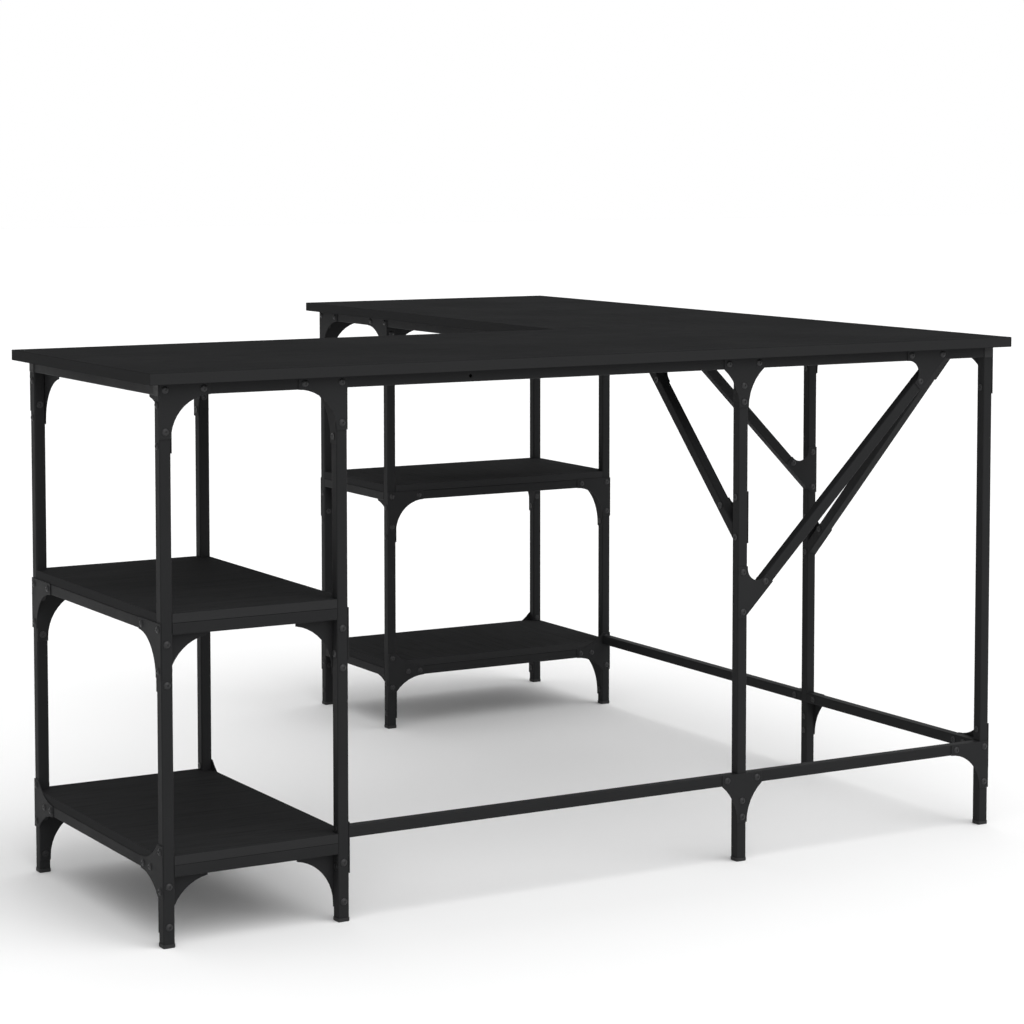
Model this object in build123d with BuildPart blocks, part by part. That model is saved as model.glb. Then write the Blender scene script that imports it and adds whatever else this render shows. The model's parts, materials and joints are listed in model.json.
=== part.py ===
from build123d import *
from collections import namedtuple
from math import sqrt
import os

os.makedirs("parts", exist_ok=True)

# Corner desk with two equal arms on a bolted frame of square steel tube, and a
# unit of two shelves under the end of each arm. Sizes are in millimetres.
#
# The origin is on the floor, under the middle of the square that the desk
# fills. Arm A runs along X on the low Y side, arm B runs along Y on the high X
# side, and the corner leg stands where they meet. A place on an arm is given as
# s, the distance from the corner leg along the arm, and d, the distance in from
# the line of its outer legs.

# Driving dimensions
height = 748.0
arm_length = 1400.0
arm_depth = 503.0
overhang = 20.0  # of the top beyond the faces of the frame
top_thickness = 15.0
shelf_thickness = 12.0
board_edge = 1.0  # rounding of a board's edges

tube = 16.0  # side of the legs, rails and braces
tube_wall = 1.2
tube_corner = 2.0

frame_depth = 448.0
mid_leg_s = frame_depth
near_leg_s = 1092.0  # legs of the shelf unit nearest the corner
end_leg_s = 1344.0

mid_shelf_z = 416.0  # centres of the rails
bottom_shelf_z = 100.0
stretcher_z = 121.0

long_brace_z = 365.0  # where a brace's axis meets the axis of the mid leg
cross_brace_z = 473.5

plate = 1.2
gusset_reach = 63.5  # from the leg's axis to the end of a plate's arm
gusset_bolt = 54.0
tee_half = 34.5
tee_half_bolt = 26.0
tee_stem_bolts = (32.0, 55.5)
bracket_reach = 61.5
bracket_drop = 82.0
bracket_arc = 63.5
bracket_arc_z = 77.0
bracket_bolts = (19.5, 72.5)
brace_plate_arm = 66.0
brace_plate_bolts = ((0.0, 0.0), (58.0, 0.0), (42.0, 39.0))  # the last is on the brace
brace_plate_arc = 18.0
brace_plate_heel = 9.0

bolt_d = 5.0
bolt_hole_d = 5.5
bolt_head_d = 9.5
bolt_head_h = 2.0
head_rim = 0.5
bolt_length = 18.0
socket_af = 3.0
nut_sleeve_d = 7.0
nut_sleeve = 5.0
nut_flange_d = 9.5
nut_flange = 1.0

screw_d = 4.0
screw_head_d = 8.0
screw_head_h = 2.2
screw_length = 10.0
corner_screw_length = 26.0
access_d = 9.0  # holes under the rails that let the screws' heads in
gap = 0.05  # round screws and nuts and in the shelves' notches

foot_h = 5.0
foot_flare = 0.7
foot_edge = 1.2
foot_plug = 12.0
rail_plug = 4.0
plug_gap = 0.1
plug_flange = 1.0
spare_hole_s = 897.0

# Derived sizes
half = tube / 2
bore = tube - 2 * tube_wall
corner = arm_length / 2 - overhang - half
top_rail_z = height - top_thickness - half
leg_top = top_rail_z - half
nut_hole_d = nut_sleeve_d + 2 * gap

UP = Vector(0, 0, 1)
DOWN = Vector(0, 0, -1)
ARMS = ("a", "b")
INTO_SEAT = (Align.CENTER, Align.CENTER, Align.MAX)
Site = namedtuple("Site", "origin u v out")
Fastener = namedtuple("Fastener", "seat out")


def at(arm, s, d, z):
    """Point on an arm."""
    if arm == "a":
        return Vector(corner - s, d - corner, z)
    return Vector(corner - d, s - corner, z)


def away(arm):
    """Direction along an arm, away from the corner leg."""
    return Vector(-1, 0, 0) if arm == "a" else Vector(0, 1, 0)


def inward(arm):
    """Direction across an arm, from its outer line towards the sitter."""
    return Vector(0, 1, 0) if arm == "a" else Vector(-1, 0, 0)


def unit_legs(arm):
    """The four legs of a shelf unit: s, d, and the directions into the unit."""
    for s, into_s in ((near_leg_s, away(arm)), (end_leg_s, -away(arm))):
        for d, into_d in ((0.0, inward(arm)), (frame_depth, -inward(arm))):
            yield s, d, into_s, into_d


# ---------------------------------------------------------------------------
# Joints. A site is where a plate sits: the crossing of the two tubes' axes,
# the directions of the plate's two arms and the side of the tubes it lies on.
# ---------------------------------------------------------------------------

gussets = []
tees = []
top_brackets = []
shelf_brackets = []
brace_ends = []
braces = {}

for arm in ARMS:
    for s, d, into_s, into_d in unit_legs(arm):
        gussets.append(Site(at(arm, s, d, top_rail_z), into_s, DOWN, -into_d))
        gussets.append(Site(at(arm, s, d, mid_shelf_z), into_d, DOWN, -into_s))
        tees.append(Site(at(arm, s, d, bottom_shelf_z), UP, into_d, -into_s))
        top_brackets.append(Site(at(arm, s, d, top_rail_z), into_d, DOWN, into_s))
        shelf_brackets.append(Site(at(arm, s, d, mid_shelf_z), into_s, DOWN, into_d))
        shelf_brackets.append(Site(at(arm, s, d, bottom_shelf_z), into_s, DOWN, into_d))
    for z in (top_rail_z, stretcher_z):
        tees.append(Site(at(arm, mid_leg_s, 0, z), away(arm), DOWN, -inward(arm)))
    for name, low_z, level, out in (
        ("long", long_brace_z, -away(arm), -inward(arm)),
        ("cross", cross_brace_z, inward(arm), -away(arm)),
    ):
        rise = top_rail_z - low_z
        low = at(arm, mid_leg_s, 0, low_z)
        high = low + (level + UP) * rise
        slope = (level + UP).normalized()
        brace_ends.append(Site(low, UP, slope, out))
        brace_ends.append(Site(high, -level, -slope, out))
        braces[f"{arm}_{name}_brace"] = (low, high, level)

# The corner leg carries one arm of each kind.
gussets.append(Site(at("b", 0, 0, top_rail_z), away("b"), DOWN, -inward("b")))
gussets.append(Site(at("a", 0, 0, stretcher_z), away("a"), DOWN, -inward("a")))
tees.append(Site(at("b", 0, 0, stretcher_z), UP, away("b"), -inward("b")))


def face_bolt(site, along_u, along_v):
    """Bolt whose head lies on the plate."""
    seat = site.origin + site.u * along_u + site.v * along_v + site.out * (half + plate)
    return Fastener(seat, site.out)


def back_bolt(site, along_v):
    """Bolt whose head lies on the leg, on the side opposite the plate."""
    seat = site.origin + site.v * along_v - site.out * half
    return Fastener(seat, -site.out)


gusset_points = ((0, 0), (gusset_bolt, 0), (0, gusset_bolt))
tee_points = ((-tee_half_bolt, 0), (tee_half_bolt, 0), *((0, v) for v in tee_stem_bolts))

bolts_at = [face_bolt(site, u, v) for site in gussets for u, v in gusset_points]
bolts_at += [face_bolt(site, u, v) for site in tees for u, v in tee_points]
bolts_at += [back_bolt(site, v) for site in top_brackets + shelf_brackets for v in bracket_bolts]
for site in brace_ends:
    for along, aside in brace_plate_bolts:
        bolts_at.append(face_bolt(site, along - aside, aside * sqrt(2)))
heads_at = [Fastener(bolt.seat + bolt.out * bolt_head_h, bolt.out) for bolt in bolts_at]

# Every bolt ends in a rivet nut, set in the far side of the tube.
nuts_at = [Fastener(bolt.seat - bolt.out * (plate + tube), -bolt.out) for bolt in bolts_at]

# Wood screws rise into the boards. Their heads are inside the rails, on the upper wall.
screws_at = []
for arm in ARMS:
    for s, d in ((250, 0), (660, 0), (940, 0), (1219, 0), (800, frame_depth), (1219, frame_depth)):
        screws_at.append(Fastener(at(arm, s, d, leg_top + tube - tube_wall), DOWN))
    for s in (near_leg_s, end_leg_s):
        for d in (140, 308):
            for z in (mid_shelf_z, bottom_shelf_z):
                screws_at.append(Fastener(at(arm, s, d, z + half - tube_wall), DOWN))
access_at = [Fastener(screw.seat + DOWN * (tube - tube_wall), DOWN) for screw in screws_at]

# At the inner corner they hold a plate as well, and their heads are under it.
inner_corner = at("a", frame_depth, frame_depth, leg_top)
corner_screws_at = []
for step in ((-48, 0, 0), (48, 0, 0), (0, -48, 0), (0, 48, 0)):
    corner_screws_at.append(Fastener(inner_corner + Vector(step) + DOWN * plate, DOWN))


def drill(fasteners, diameter, depth, low, high):
    """Cuts the holes that enter the box low to high out of the piece being built."""
    crossing = []
    for item in fasteners:
        tip = item.seat - item.out * depth
        if all(
            min(a, b) < hi and max(a, b) > lo for a, b, lo, hi in zip(item.seat, tip, low, high)
        ):
            crossing.append(Location(Plane(item.seat, z_dir=item.out)))
    if crossing:
        with Locations(*crossing):
            Cylinder(diameter / 2, depth, align=INTO_SEAT, mode=Mode.SUBTRACT)


def drill_all(low, high):
    """Holes of all the fasteners in the piece being built."""
    drill(bolts_at, bolt_hole_d, bolt_length, low, high)
    drill(nuts_at, nut_hole_d, nut_sleeve, low, high)
    drill(screws_at, screw_d + 2 * gap, screw_length + gap, low, high)
    drill(corner_screws_at, screw_d + 2 * gap, corner_screw_length + gap, low, high)
    drill(access_at, access_d, 2 * tube_wall, low, high)


def square_tube(start, end, cuts=()):
    """Square tube from start to end, cut back to planes and drilled for its fasteners."""
    run = end - start
    across = Vector(1, 0, 0) if run.X == run.Y == 0 else Vector(run.Y, -run.X, 0)
    with BuildPart() as piece:
        with BuildSketch(Plane(start, x_dir=across, z_dir=run)):
            RectangleRounded(tube, tube, tube_corner)
            RectangleRounded(bore, bore, tube_corner - tube_wall, mode=Mode.SUBTRACT)
        extrude(amount=run.length)
        for plane in cuts:
            split(bisect_by=plane, keep=Keep.TOP)
        box = piece.part.bounding_box()
        drill_all(box.min, box.max)
    return piece


def save(piece, name):
    piece.part.label = name
    export_step(piece.part, f"parts/{name}.step")


# ---------------------------------------------------------------------------
# Boards. The main board is the whole of arm A with the corner, and the return
# board meets its straight edge. Shelves are notched round the legs.
# ---------------------------------------------------------------------------


def board(name, low, high, thickness, notches=()):
    """Board between two opposite corners of its underside."""
    size = high - low
    middle = low + size / 2
    with BuildPart() as piece:
        with BuildSketch(Plane.XY.offset(low.Z)):
            with Locations((middle.X, middle.Y)):
                Rectangle(abs(size.X), abs(size.Y))
            if notches:
                with Locations(*[(spot.X, spot.Y) for spot in notches]):
                    Rectangle(tube + 2 * gap, tube + 2 * gap, mode=Mode.SUBTRACT)
        extrude(amount=thickness)
        if not notches:
            fillet(piece.edges().group_by(Axis.Z)[-1], board_edge)
            fillet(piece.edges().group_by(Axis.Z)[0], board_edge)
        box = piece.part.bounding_box()
        drill_all(box.min, box.max)
    save(piece, name)


outer = -half - overhang  # d and s of the top's outer edges
seam_s = outer + arm_depth
board(
    "main_top_board",
    at("a", outer, outer, leg_top + tube),
    at("a", outer + arm_length, outer + arm_depth, leg_top + tube),
    top_thickness,
)
board(
    "return_top_board",
    at("b", seam_s, outer, leg_top + tube),
    at("b", outer + arm_length, outer + arm_depth, leg_top + tube),
    top_thickness,
)
for arm in ARMS:
    for level, rail_z in (("middle", mid_shelf_z), ("bottom", bottom_shelf_z)):
        board(
            f"{arm}_{level}_shelf",
            at(arm, near_leg_s - half, -half, rail_z + half),
            at(arm, end_leg_s + half, frame_depth + half, rail_z + half),
            shelf_thickness,
            [at(arm, s, d, rail_z) for s, d, into_s, into_d in unit_legs(arm)],
        )

# ---------------------------------------------------------------------------
# Legs, rails, stretchers and braces
# ---------------------------------------------------------------------------

legs = {"corner_leg": at("a", 0, 0, foot_h)}
for arm in ARMS:
    legs[f"{arm}_mid_leg"] = at(arm, mid_leg_s, 0, foot_h)
    legs[f"{arm}_near_outer_leg"] = at(arm, near_leg_s, 0, foot_h)
    legs[f"{arm}_near_inner_leg"] = at(arm, near_leg_s, frame_depth, foot_h)
    legs[f"{arm}_end_outer_leg"] = at(arm, end_leg_s, 0, foot_h)
    legs[f"{arm}_end_inner_leg"] = at(arm, end_leg_s, frame_depth, foot_h)
for name, base in legs.items():
    save(square_tube(base, base + UP * (leg_top - foot_h)), name)

# The outer rail of arm B runs over the corner leg, and that of arm A butts it.
# The inner rail of arm A runs through the inner corner to the outer rail of arm B.
frame_end = end_leg_s + half
long_rails = {
    "a_outer_top_rail": ("a", half, frame_end, 0),
    "b_outer_top_rail": ("b", -half, frame_end, 0),
    "a_inner_top_rail": ("a", half, frame_end, frame_depth),
    "b_inner_top_rail": ("b", frame_depth + half, frame_end, frame_depth),
}
for name, (arm, first, last, d) in long_rails.items():
    rail = square_tube(at(arm, first, d, top_rail_z), at(arm, last, d, top_rail_z))
    if d == 0:
        with BuildPart() as drilled:
            add(rail.part)
            spot = at(arm, spare_hole_s, -half, top_rail_z)
            with Locations(Location(Plane(spot, z_dir=-inward(arm)))):
                Cylinder(bolt_d / 2, tube / 2, mode=Mode.SUBTRACT)
        rail = drilled
    save(rail, name)

for arm in ARMS:
    cross_rails = {"near": near_leg_s, "end": end_leg_s}
    if arm == "a":
        cross_rails["mid"] = mid_leg_s
    for name, s in cross_rails.items():
        first = at(arm, s, half, top_rail_z)
        last = at(arm, s, frame_depth - half, top_rail_z)
        save(square_tube(first, last), f"{arm}_{name}_cross_top_rail")

    # Shelf rails: the long ones butt the legs, the cross ones butt the brackets.
    for level, z in (("middle", mid_shelf_z), ("bottom", bottom_shelf_z)):
        for line, d in (("outer", 0), ("inner", frame_depth)):
            first = at(arm, near_leg_s + half, d, z)
            last = at(arm, end_leg_s - half, d, z)
            save(square_tube(first, last), f"{arm}_{level}_{line}_rail")
        for line, s in (("near", near_leg_s), ("end", end_leg_s)):
            first = at(arm, s, half + plate, z)
            last = at(arm, s, frame_depth - half - plate, z)
            save(square_tube(first, last), f"{arm}_{level}_{line}_rail")

    # A stretcher that meets a plate is notched for the head of the plate's bolt.
    stretchers = {
        "corner": (half, mid_leg_s - half),
        "unit": (mid_leg_s + half, near_leg_s - half - plate),
    }
    for name, (first, last) in stretchers.items():
        start, end = (at(arm, s, 0, stretcher_z) for s in (first, last))
        with BuildPart() as stretcher:
            add(square_tube(start, end).part)
            box = stretcher.part.bounding_box()
            drill(heads_at, bolt_head_d + 2 * gap, bolt_head_h, box.min, box.max)
        save(stretcher, f"{arm}_{name}_stretcher")

# The ends of a brace are cut along the face of the leg and the underside of the rail.
for name, (low, high, level) in braces.items():
    slope = (level + UP).normalized()
    leg_face = Plane(low + level * half, z_dir=level)
    rail_face = Plane(Vector(0, 0, leg_top), z_dir=DOWN)
    save(square_tube(low - slope * tube, high + slope * tube, (leg_face, rail_face)), name)

# ---------------------------------------------------------------------------
# Plates
# ---------------------------------------------------------------------------

slope_x = slope_y = sqrt(0.5)  # of a brace, in its plate's plane


def gusset_outline():
    Polyline((half, gusset_reach), (-half, gusset_reach), (-half, -half), (gusset_reach, -half),
             (gusset_reach, half))
    TangentArc((gusset_reach, half), (half, gusset_reach), tangent=(-1, 0))


def tee_outline():
    Polyline((-tee_half, half), (-tee_half, -half), (tee_half, -half), (tee_half, half))
    TangentArc((half, gusset_reach), (tee_half, half), tangent=(0, -1))
    Line((half, gusset_reach), (-half, gusset_reach))
    TangentArc((-half, gusset_reach), (-tee_half, half), tangent=(0, -1))


def bracket_outline(over_leg):
    """Bracket that is welded to a rail. Under the top the rail covers the leg's end."""
    short = half + bracket_arc - bracket_reach
    tip_v = bracket_arc_z - sqrt(bracket_arc**2 - short**2)
    top_corner = ((-half, -half),) if over_leg else ((-half, half), (half, half), (half, -half))
    Polyline((half, bracket_arc_z), (half, bracket_drop), (-half, bracket_drop), *top_corner,
             (bracket_reach, -half), (bracket_reach, tip_v))
    TangentArc((half, bracket_arc_z), (bracket_reach, tip_v), tangent=(0, -1))


def brace_plate_outline():
    """V of two arms at 45 degrees, with its crotch filled by an arc and its heel cut square."""
    along_brace = Vector(slope_x, slope_y)
    beside_brace = Vector(-slope_y, slope_x)
    crotch = half * (1 + sqrt(2))
    tangent_length = brace_plate_arc * (1 + sqrt(2))
    arc_start = Vector(crotch + tangent_length, half)
    arc_end = Vector(crotch, half) + along_brace * tangent_length
    tip_inner = along_brace * brace_plate_arm - beside_brace * half
    tip_outer = along_brace * brace_plate_arm + beside_brace * half
    heel = (-brace_plate_heel, half * sqrt(2) - brace_plate_heel)
    Polyline(arc_end, tip_inner, tip_outer, heel, (-brace_plate_heel, -half),
             (brace_plate_arm, -half), (brace_plate_arm, half), arc_start)
    TangentArc(arc_start, arc_end, tangent=(-1, 0))


def plate_plane(site):
    """Plane through the middle of a plate, with X along its first arm."""
    middle = site.origin + site.out * (half + plate / 2)
    return Plane(middle, x_dir=site.u, z_dir=site.u.cross(site.v))


def plates(name, groups):
    """Node of plates. Each group is its sites, its outline, its holes and their diameter."""
    with BuildPart() as piece:
        for sites, outline, holes, hole_d in groups:
            for site in sites:
                with BuildSketch(plate_plane(site)):
                    with BuildLine():
                        outline()
                    make_face()
                    with Locations(*holes):
                        Circle(hole_d / 2, mode=Mode.SUBTRACT)
                extrude(amount=plate / 2, both=True)
    save(piece, name)


bracket_points = [(0, v) for v in bracket_bolts]
plates("corner_gussets", [(gussets, gusset_outline, gusset_points, bolt_hole_d)])
plates("tee_plates", [(tees, tee_outline, tee_points, bolt_hole_d)])
plates("rail_brackets", [
    (top_brackets, lambda: bracket_outline(False), bracket_points, nut_hole_d),
    (shelf_brackets, lambda: bracket_outline(True), bracket_points, nut_hole_d),
])
plates("brace_plates", [(brace_ends, brace_plate_outline, brace_plate_bolts, bolt_hole_d)])

# Cross-shaped plate under the rails that meet at the inner corner
with BuildPart() as inner_plate:
    with BuildSketch(Plane.XY.offset(leg_top - plate)):
        with Locations((inner_corner.X, inner_corner.Y)):
            Rectangle(2 * gusset_reach, tube)
            Rectangle(tube, 2 * gusset_reach)
    extrude(amount=plate)
    box = inner_plate.part.bounding_box()
    drill_all(box.min, box.max)
save(inner_plate, "inner_corner_plate")

# ---------------------------------------------------------------------------
# Plastic caps and plugs
# ---------------------------------------------------------------------------

plug_side = bore - 2 * plug_gap
with BuildPart() as one_foot:
    with BuildSketch():
        RectangleRounded(tube + 2 * foot_flare, tube + 2 * foot_flare, tube_corner + foot_flare)
    extrude(amount=foot_h)
    fillet(one_foot.edges().group_by(Axis.Z)[0], foot_edge)
    with BuildSketch(Plane.XY.offset(foot_h)):
        RectangleRounded(plug_side, plug_side, tube_corner - tube_wall)
    extrude(amount=foot_plug)

with BuildPart() as foot_caps:
    with Locations(*[Location((base.X, base.Y, 0)) for base in legs.values()]):
        add(one_foot.part)
save(foot_caps, "foot_caps")

with BuildPart() as one_plug:
    with BuildSketch():
        RectangleRounded(tube, tube, tube_corner)
    extrude(amount=plug_flange)
    with BuildSketch():
        RectangleRounded(plug_side, plug_side, tube_corner - tube_wall)
    extrude(amount=-rail_plug)

open_ends = [(at("b", -half, 0, top_rail_z), -away("b"))]
for arm in ARMS:
    for d in (0, frame_depth):
        open_ends.append((at(arm, frame_end, d, top_rail_z), away(arm)))
with BuildPart() as rail_plugs:
    with Locations(*[Location(Plane(spot, z_dir=out)) for spot, out in open_ends]):
        add(one_plug.part)
save(rail_plugs, "rail_plugs")

# ---------------------------------------------------------------------------
# Bolts, rivet nuts and screws, made with their seats at the origin and heads up
# ---------------------------------------------------------------------------


def domed(head_d, head_h, shank_d, length, point):
    """Fastener with a domed head and a plain shank."""
    rim = (head_d / 2, head_rim)
    crown = (head_d * 0.2, head_h)
    with BuildPart() as piece:
        with BuildSketch(Plane.XZ):
            with BuildLine():
                Polyline(crown, (0, head_h), (0, -length), (shank_d / 2, point - length),
                         (shank_d / 2, 0), (head_d / 2, 0), rim)
                ThreePointArc(rim, (head_d * 0.38, head_h * 0.74), crown)
            make_face()
        revolve(axis=Axis.Z)
    return piece


with BuildPart() as one_bolt:
    add(domed(bolt_head_d, bolt_head_h, bolt_d, bolt_length, 0.5).part)
    with BuildSketch(Plane.XY.offset(bolt_head_h)):
        RegularPolygon(socket_af / 2, 6, major_radius=False)
    extrude(amount=-bolt_head_h / 2, mode=Mode.SUBTRACT)

with BuildPart() as one_nut:
    with BuildSketch():
        Circle(nut_flange_d / 2)
    extrude(amount=nut_flange)
    with BuildSketch():
        Circle(nut_sleeve_d / 2)
    extrude(amount=-nut_sleeve)
    with BuildSketch(Plane.XY.offset(nut_flange)):
        Circle(bolt_d / 2 + gap)
    extrude(amount=-nut_flange - nut_sleeve, mode=Mode.SUBTRACT)

one_screw = domed(screw_head_d, screw_head_h, screw_d, screw_length, screw_d)
one_corner_screw = domed(screw_head_d, screw_head_h, screw_d, corner_screw_length, screw_d)


def fastener_group(name, groups):
    """Node of fasteners. Each group is its shape and its places."""
    with BuildPart() as piece:
        for shape, fasteners in groups:
            with Locations(*[Location(Plane(f.seat, z_dir=f.out)) for f in fasteners]):
                add(shape.part)
    save(piece, name)


fastener_group("bolts", [(one_bolt, bolts_at)])
fastener_group("rivet_nuts", [(one_nut, nuts_at)])
fastener_group("board_screws", [(one_screw, screws_at), (one_corner_screw, corner_screws_at)])
print(len(os.listdir("parts")), "parts and", len(bolts_at), "bolts")
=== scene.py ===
import json
import math

import bmesh
import bpy
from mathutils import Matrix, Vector

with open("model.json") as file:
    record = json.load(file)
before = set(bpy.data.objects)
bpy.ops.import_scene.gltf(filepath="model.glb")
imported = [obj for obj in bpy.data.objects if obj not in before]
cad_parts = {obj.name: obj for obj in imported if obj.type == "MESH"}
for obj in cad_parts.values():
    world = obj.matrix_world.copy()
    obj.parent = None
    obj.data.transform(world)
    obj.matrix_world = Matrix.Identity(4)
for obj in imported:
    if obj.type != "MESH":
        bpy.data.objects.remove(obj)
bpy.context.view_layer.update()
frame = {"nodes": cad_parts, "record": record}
nodes = frame["nodes"]

# ---------------------------------------------------------------------------
# Camera: a long lens in front of arm A and past its end, a little above the top
# ---------------------------------------------------------------------------

CAMERA_PLACE = (-2.0925, -4.0256, 1.0329)
CAMERA_TILT = 4.036  # degrees below level
CAMERA_TURN = 30.19  # degrees to the right of square to arm A

scene = bpy.context.scene
scene.view_settings.view_transform = "Standard"

camera_data = bpy.data.cameras.new("camera")
camera_data.lens = 99.75
camera_data.sensor_width = 36.0
camera_data.shift_x = -0.0088
camera_data.shift_y = -0.16
camera = bpy.data.objects.new("camera", camera_data)
camera.location = CAMERA_PLACE
camera.rotation_euler = (math.radians(90 - CAMERA_TILT), 0, math.radians(-CAMERA_TURN))
scene.collection.objects.link(camera)
scene.camera = camera

# ---------------------------------------------------------------------------
# Light and floor
# ---------------------------------------------------------------------------


def soft_sun(name, direction, strength, spread):
    """Light from a direction, the same over the whole floor. Its spread, in degrees, softens it."""
    light = bpy.data.lights.new(name, "SUN")
    light.energy = strength
    light.angle = math.radians(spread)
    lamp = bpy.data.objects.new(name, light)
    lamp.rotation_euler = Vector(direction).to_track_quat("Z", "Y").to_euler()
    scene.collection.objects.link(lamp)


soft_sun("key_light", direction=(0.15, -0.9, 1.0), strength=1.55, spread=70)
soft_sun("back_light", direction=(0.4, 0.5, 1.3), strength=0.85, spread=90)

# The studio's walls are white to the camera. As a light they are dimmer, so that black stays
# black, and dimmest behind the desk: From is the Y of a direction, To the strength from there.
WALL_LIGHT = {"From Min": -0.9, "From Max": 0.7, "To Min": 0.95, "To Max": 0.36}

world = bpy.data.worlds.new("studio")
scene.world = world
world.use_nodes = True
world_nodes = world.node_tree.nodes
join_world = world.node_tree.links.new
walls = world_nodes["Background"]
seen = world_nodes.new("ShaderNodeBackground")
for background in (walls, seen):
    background.inputs["Color"].default_value = (1, 1, 1, 1)
toward = world_nodes.new("ShaderNodeSeparateXYZ")
dimming = world_nodes.new("ShaderNodeMapRange")
for key, number in WALL_LIGHT.items():
    dimming.inputs[key].default_value = number
join_world(world_nodes.new("ShaderNodeTexCoord").outputs["Generated"], toward.inputs["Vector"])
join_world(toward.outputs["Y"], dimming.inputs["Value"])
join_world(dimming.outputs["Result"], walls.inputs["Strength"])
ray = world_nodes.new("ShaderNodeLightPath")
choice = world_nodes.new("ShaderNodeMixShader")
join_world(ray.outputs["Is Camera Ray"], choice.inputs["Fac"])
join_world(walls.outputs["Background"], choice.inputs[1])
join_world(seen.outputs["Background"], choice.inputs[2])
join_world(choice.outputs["Shader"], world_nodes["World Output"].inputs["Surface"])

# ---------------------------------------------------------------------------
# Materials
# ---------------------------------------------------------------------------

# Colours of each finish. A pair is its darkest and its lightest tone.
TOP_BLACK = ((0.011, 0.0112, 0.0116), (0.016, 0.0162, 0.0167))
# Upright faces of the top: edge band tone with painted light, lighter than the level faces.
TOP_UPRIGHT_PAINTED_LIGHT = (0.0225, 0.0227, 0.0232)
SHELF_BLACK = ((0.018, 0.0182, 0.0187), (0.026, 0.0263, 0.027))
# Upright faces of the shelves: edge band tone with painted light, lighter than the level faces.
SHELF_UPRIGHT_PAINTED_LIGHT = (0.0255, 0.0257, 0.0263)
TUBE_BLACK = ((0.0135, 0.0137, 0.0142), (0.0195, 0.0198, 0.0204))
TUBE_WORN = (0.032, 0.032, 0.033)
PLATE_BLACK = ((0.0145, 0.0147, 0.0152), (0.021, 0.0213, 0.022))
PLATE_WORN = (0.038, 0.038, 0.039)
ZINC_BLACK = ((0.012, 0.012, 0.013), (0.02, 0.02, 0.021))
ZINC_WORN = (0.055, 0.055, 0.056)
PLASTIC_BLACK = ((0.010, 0.010, 0.0105), (0.017, 0.017, 0.0175))
PLASTIC_WORN = (0.045, 0.045, 0.045)
FLOOR_WHITE = ((0.92, 0.92, 0.92), (0.94, 0.94, 0.94))


def scaled(colour, factor):
    return tuple(factor * channel for channel in colour)


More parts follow.
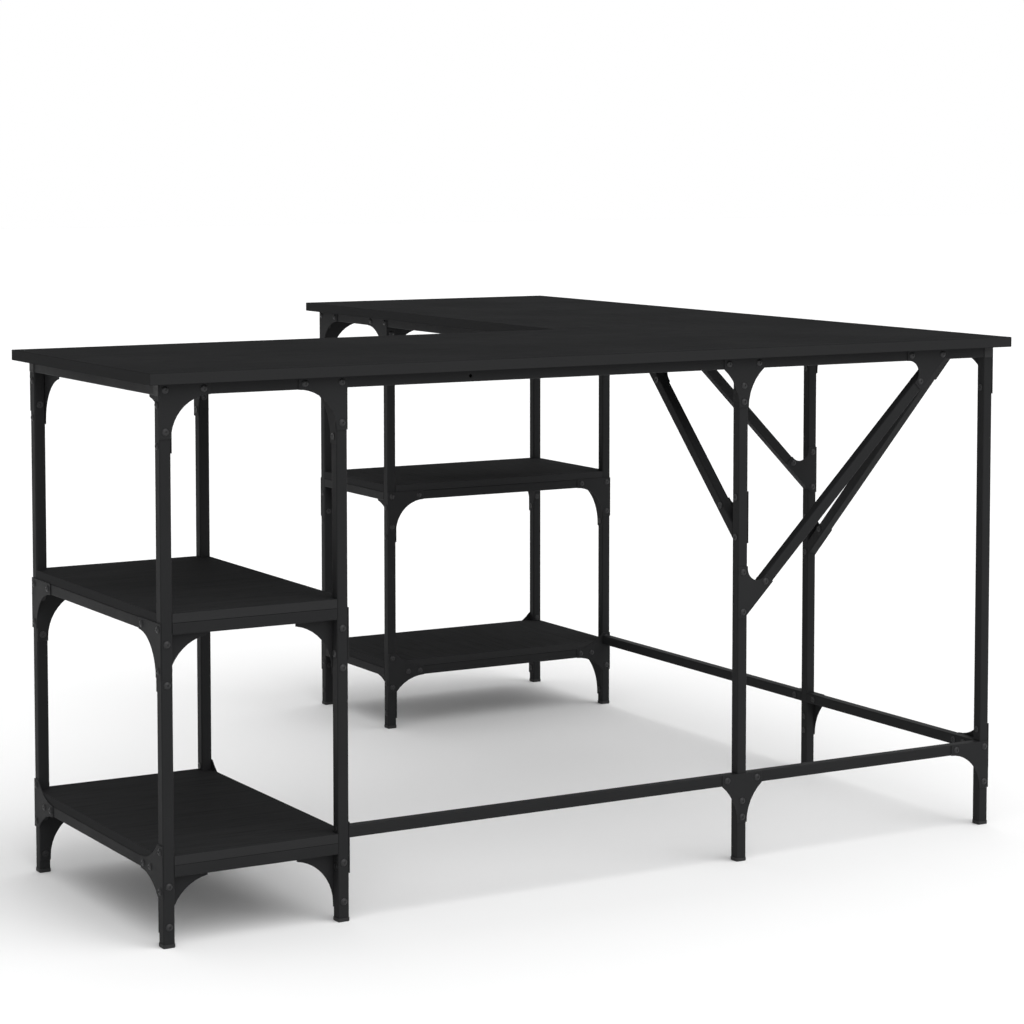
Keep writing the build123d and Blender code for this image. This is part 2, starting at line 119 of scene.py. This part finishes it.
class Shader:
    """Node tree of one material, in the row frame's own coordinates and metres."""

    def __init__(self, name, specular):
        self.material = bpy.data.materials.new(name)
        self.material.use_nodes = True
        self.tree = self.material.node_tree
        self.surface = self.tree.nodes["Principled BSDF"]
        self.surface.inputs["Specular IOR Level"].default_value = specular
        self.place = self.add("ShaderNodeTexCoord").outputs["Object"]

    def add(self, kind, **settings):
        node = self.tree.nodes.new(kind)
        for key, value in settings.items():
            setattr(node, key, value)
        return node

    def join(self, source, target):
        self.tree.links.new(source, target)

    def drawn_out(self, along, lengthwise, across):
        """Coordinates for a pattern drawn out along X or Y, by how often it repeats in a metre."""
        mapping = self.add("ShaderNodeMapping")
        for axis, letter in enumerate("XYZ"):
            mapping.inputs["Scale"].default_value[axis] = lengthwise if letter == along else across
        self.join(self.place, mapping.inputs["Vector"])
        return mapping.outputs["Vector"]

    def noise(self, scale, detail, rough=0.5, where=None):
        node = self.add("ShaderNodeTexNoise")
        node.inputs["Scale"].default_value = scale
        node.inputs["Detail"].default_value = detail
        node.inputs["Roughness"].default_value = rough
        self.join(where or self.place, node.inputs["Vector"])
        return node.outputs["Fac"]

    def span(self, value, before, after):
        """Value moved from one span to another and held inside it."""
        node = self.add("ShaderNodeMapRange")
        for key, number in zip(("From Min", "From Max", "To Min", "To Max"), (*before, *after)):
            node.inputs[key].default_value = number
        self.join(value, node.inputs["Value"])
        return node.outputs["Result"]

    def mix(self, share, first, second):
        """Colour between two, each a colour or another node's output."""
        node = self.add("ShaderNodeMix", data_type="RGBA")
        self.join(share, node.inputs["Factor"])
        for value, socket in ((first, node.inputs["A"]), (second, node.inputs["B"])):
            if isinstance(value, tuple):
                socket.default_value = (*value, 1)
            else:
                self.join(value, socket)
        return node.outputs["Result"]

    def maths(self, operation, first, second):
        """Result held between 0 and 1, from two values, each a number or a node's output."""
        node = self.add("ShaderNodeMath", operation=operation, use_clamp=True)
        for value, socket in ((first, node.inputs[0]), (second, node.inputs[1])):
            if isinstance(value, (int, float)):
                socket.default_value = value
            else:
                self.join(value, socket)
        return node.outputs["Value"]

    def edges(self, radius):
        """1 on edges sharper than the radius, 0 on flat ground, and the rounded normal."""
        bevel = self.add("ShaderNodeBevel", samples=4)
        bevel.inputs["Radius"].default_value = radius
        flat = self.add("ShaderNodeNewGeometry")
        dot = self.add("ShaderNodeVectorMath", operation="DOT_PRODUCT")
        self.join(bevel.outputs["Normal"], dot.inputs[0])
        self.join(flat.outputs["Normal"], dot.inputs[1])
        return self.span(dot.outputs["Value"], (0.98, 0.8), (0.0, 1.0)), bevel.outputs["Normal"]

    def level(self):
        """1 on faces that look up or down, 0 on upright ones."""
        geometry = self.add("ShaderNodeNewGeometry")
        parts = self.add("ShaderNodeSeparateXYZ")
        self.join(geometry.outputs["Normal"], parts.inputs["Vector"])
        tilt = self.add("ShaderNodeMath", operation="ABSOLUTE")
        self.join(parts.outputs["Z"], tilt.inputs[0])
        return self.span(tilt.outputs["Value"], (0.3, 0.7), (0.0, 1.0))

    def bump(self, height, depth, strength, normal=None):
        """Normal with the height's relief on it, laid over another normal if one is given."""
        node = self.add("ShaderNodeBump")
        node.inputs["Strength"].default_value = strength
        node.inputs["Distance"].default_value = depth
        self.join(height, node.inputs["Height"])
        if normal:
            self.join(normal, node.inputs["Normal"])
        return node.outputs["Normal"]

    def finish(self, colour, roughness, normal):
        self.join(colour, self.surface.inputs["Base Color"])
        self.join(roughness, self.surface.inputs["Roughness"])
        self.join(normal, self.surface.inputs["Normal"])
        return self.material


def powder_coat(name, dark, light, worn):
    """Matt black powder coat: a fine orange peel, faint cloudiness and rubbed edges."""
    shader = Shader(name, specular=0.05)
    clouds = shader.noise(scale=9, detail=4)
    rub = shader.noise(scale=60, detail=4, rough=0.6)
    edge, rounded = shader.edges(radius=0.0009)
    wear = shader.maths("MULTIPLY", edge, shader.span(rub, (0.42, 0.62), (0.15, 1.0)))
    colour = shader.mix(wear, shader.mix(clouds, dark, light), worn)
    uneven = shader.maths("ADD", clouds, shader.maths("MULTIPLY", rub, 0.3))
    roughness = shader.span(uneven, (0.4, 0.95), (0.42, 0.6))
    peel = shader.noise(scale=1500, detail=2)
    grit = shader.noise(scale=4200, detail=1)
    peeled = shader.bump(peel, depth=0.00012, strength=0.5, normal=rounded)
    gritty = shader.bump(grit, depth=0.00005, strength=0.35, normal=peeled)
    return shader.finish(colour, roughness, gritty)


def laminate(name, along, dark, light, upright_painted_light):
    """Matt black laminate with a fine pressed wood grain along one axis and a plain edge band. The
    upright faces are painted lighter than the level faces, which is painted light for how the light
    falls on each.
    """
    shader = Shader(name, specular=0.008)
    streak_way = shader.drawn_out(along, lengthwise=2.5, across=60)
    pore_way = shader.drawn_out(along, lengthwise=14, across=520)
    streaks = shader.noise(scale=1, detail=5, rough=0.55, where=streak_way)
    pores = shader.noise(scale=1, detail=3, rough=0.6, where=pore_way)
    pits = shader.span(pores, (0.52, 0.66), (0.0, 1.0))
    edge, rounded = shader.edges(radius=0.0006)

    grain = shader.mix(streaks, dark, light)
    pitted = shader.mix(shader.maths("MULTIPLY", pits, 0.4), grain, scaled(dark, 0.5))
    # Upright faces get a lighter tone than level faces: painted light on the edge band, painted
    # shade on the level faces.
    upright_lit_tone = shader.mix(streaks, scaled(upright_painted_light, 0.93), upright_painted_light)
    faced_painted_light = shader.mix(shader.level(), upright_lit_tone, pitted)
    colour = shader.mix(shader.maths("MULTIPLY", edge, 0.5), faced_painted_light, scaled(light, 1.5))

    smudge = shader.noise(scale=5, detail=3)
    uneven = shader.maths("ADD", shader.maths("MULTIPLY", pits, 0.25), smudge)
    roughness = shader.span(uneven, (0.3, 0.95), (0.66, 0.84))
    streaked = shader.bump(streaks, depth=0.00012, strength=0.25, normal=rounded)
    sunk = shader.maths("SUBTRACT", 1.0, pits)
    pressed = shader.bump(sunk, depth=0.00012, strength=0.45, normal=streaked)
    return shader.finish(colour, roughness, pressed)


def zinc(name, dark, light, worn):
    """Black zinc of the fasteners, a little glossier than the coat and rubbed on its edges."""
    shader = Shader(name, specular=0.4)
    shader.surface.inputs["Metallic"].default_value = 0.25
    stain = shader.noise(scale=300, detail=3)
    edge, rounded = shader.edges(radius=0.0004)
    wear = shader.maths("MULTIPLY", edge, shader.span(stain, (0.4, 0.6), (0.2, 0.9)))
    colour = shader.mix(wear, shader.mix(stain, dark, light), worn)
    roughness = shader.span(stain, (0.3, 0.7), (0.32, 0.5))
    relief = shader.bump(stain, depth=0.00004, strength=0.3, normal=rounded)
    return shader.finish(colour, roughness, relief)


def plastic(name, dark, light, worn):
    """Matt moulded black plastic with a spark-eroded grain and dusty edges."""
    shader = Shader(name, specular=0.3)
    grain = shader.noise(scale=1800, detail=2)
    scuff = shader.noise(scale=90, detail=4, rough=0.65)
    edge, rounded = shader.edges(radius=0.0006)
    dust = shader.maths("MULTIPLY", edge, shader.span(scuff, (0.4, 0.65), (0.1, 0.8)))
    colour = shader.mix(dust, shader.mix(scuff, dark, light), worn)
    roughness = shader.span(scuff, (0.3, 0.7), (0.5, 0.68))
    relief = shader.bump(grain, depth=0.0001, strength=0.4, normal=rounded)
    return shader.finish(colour, roughness, relief)


# Each board's upright tone carries painted light on its edge band.
laminates = {
    "main_top_board": laminate("top_grain_x", "X", *TOP_BLACK, TOP_UPRIGHT_PAINTED_LIGHT),
    "return_top_board": laminate("top_grain_y", "Y", *TOP_BLACK, TOP_UPRIGHT_PAINTED_LIGHT),
}
for arm, along in (("a", "X"), ("b", "Y")):
    shelf = laminate(f"shelf_grain_{along.lower()}", along, *SHELF_BLACK, SHELF_UPRIGHT_PAINTED_LIGHT)
    laminates[f"{arm}_middle_shelf"] = shelf
    laminates[f"{arm}_bottom_shelf"] = shelf
finishes = {
    "black_steel_tube": powder_coat("tube_powder_coat", *TUBE_BLACK, TUBE_WORN),
    "black_plates": powder_coat("plate_powder_coat", *PLATE_BLACK, PLATE_WORN),
    "black_fasteners": zinc("black_zinc", *ZINC_BLACK, ZINC_WORN),
    "black_plastic": plastic("black_cap_plastic", *PLASTIC_BLACK, PLASTIC_WORN),
}
slots = {row["node"]: row["material_slot"] for row in frame["record"]["subparts"]}

for node, thing in nodes.items():
    thing.data.materials.clear()
    thing.data.materials.append(laminates.get(node) or finishes[slots[node]])

# ---------------------------------------------------------------------------
# Floor
# ---------------------------------------------------------------------------

FLOOR_HALF = 30  # half its side


def floor_paint():
    """White matt paint, very slightly uneven."""
    shader = Shader("floor_paint", specular=0.1)
    tone = shader.noise(scale=1.5, detail=2)
    colour = shader.mix(tone, *FLOOR_WHITE)
    roughness = shader.span(tone, (0.3, 0.7), (0.8, 0.9))
    return shader.finish(colour, roughness, shader.bump(tone, depth=0.0001, strength=0.1))


def make_floor():
    """Wide flat floor."""
    mesh = bmesh.new()
    bmesh.ops.create_grid(mesh, x_segments=1, y_segments=1, size=FLOOR_HALF)
    data = bpy.data.meshes.new("floor")
    mesh.to_mesh(data)
    mesh.free()
    data.materials.append(floor_paint())
    floor = bpy.data.objects.new("floor", data)
    scene.collection.objects.link(floor)


make_floor()
